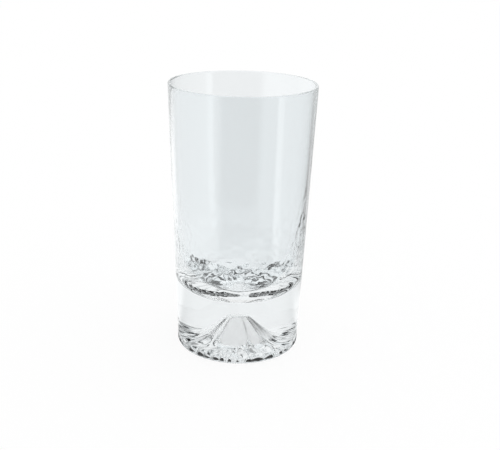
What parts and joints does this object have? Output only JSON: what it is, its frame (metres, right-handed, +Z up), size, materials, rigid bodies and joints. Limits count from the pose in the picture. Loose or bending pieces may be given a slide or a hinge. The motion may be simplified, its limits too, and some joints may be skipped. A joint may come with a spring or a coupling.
{
  "type": "tumbler",
  "caption": "Tall flared drinking tumbler of clear glass with a round bowl floor and a heavy solid base, hollowed from below in the shape of a ridged mountain.",
  "frame": {"origin": "on the table at the middle of the foot ring", "axes": "+Z up along the axis of the glass, towards the rim; -Y towards the viewer of the picture"},
  "size_m": [0.0724, 0.0724, 0.135],
  "materials": {
    "clear_glass": "polished clear glass with a fire-polished rim"
  },
  "bodies": {
    "root": {"tumbler_body": "clear_glass"}
  },
  "joints": []
}
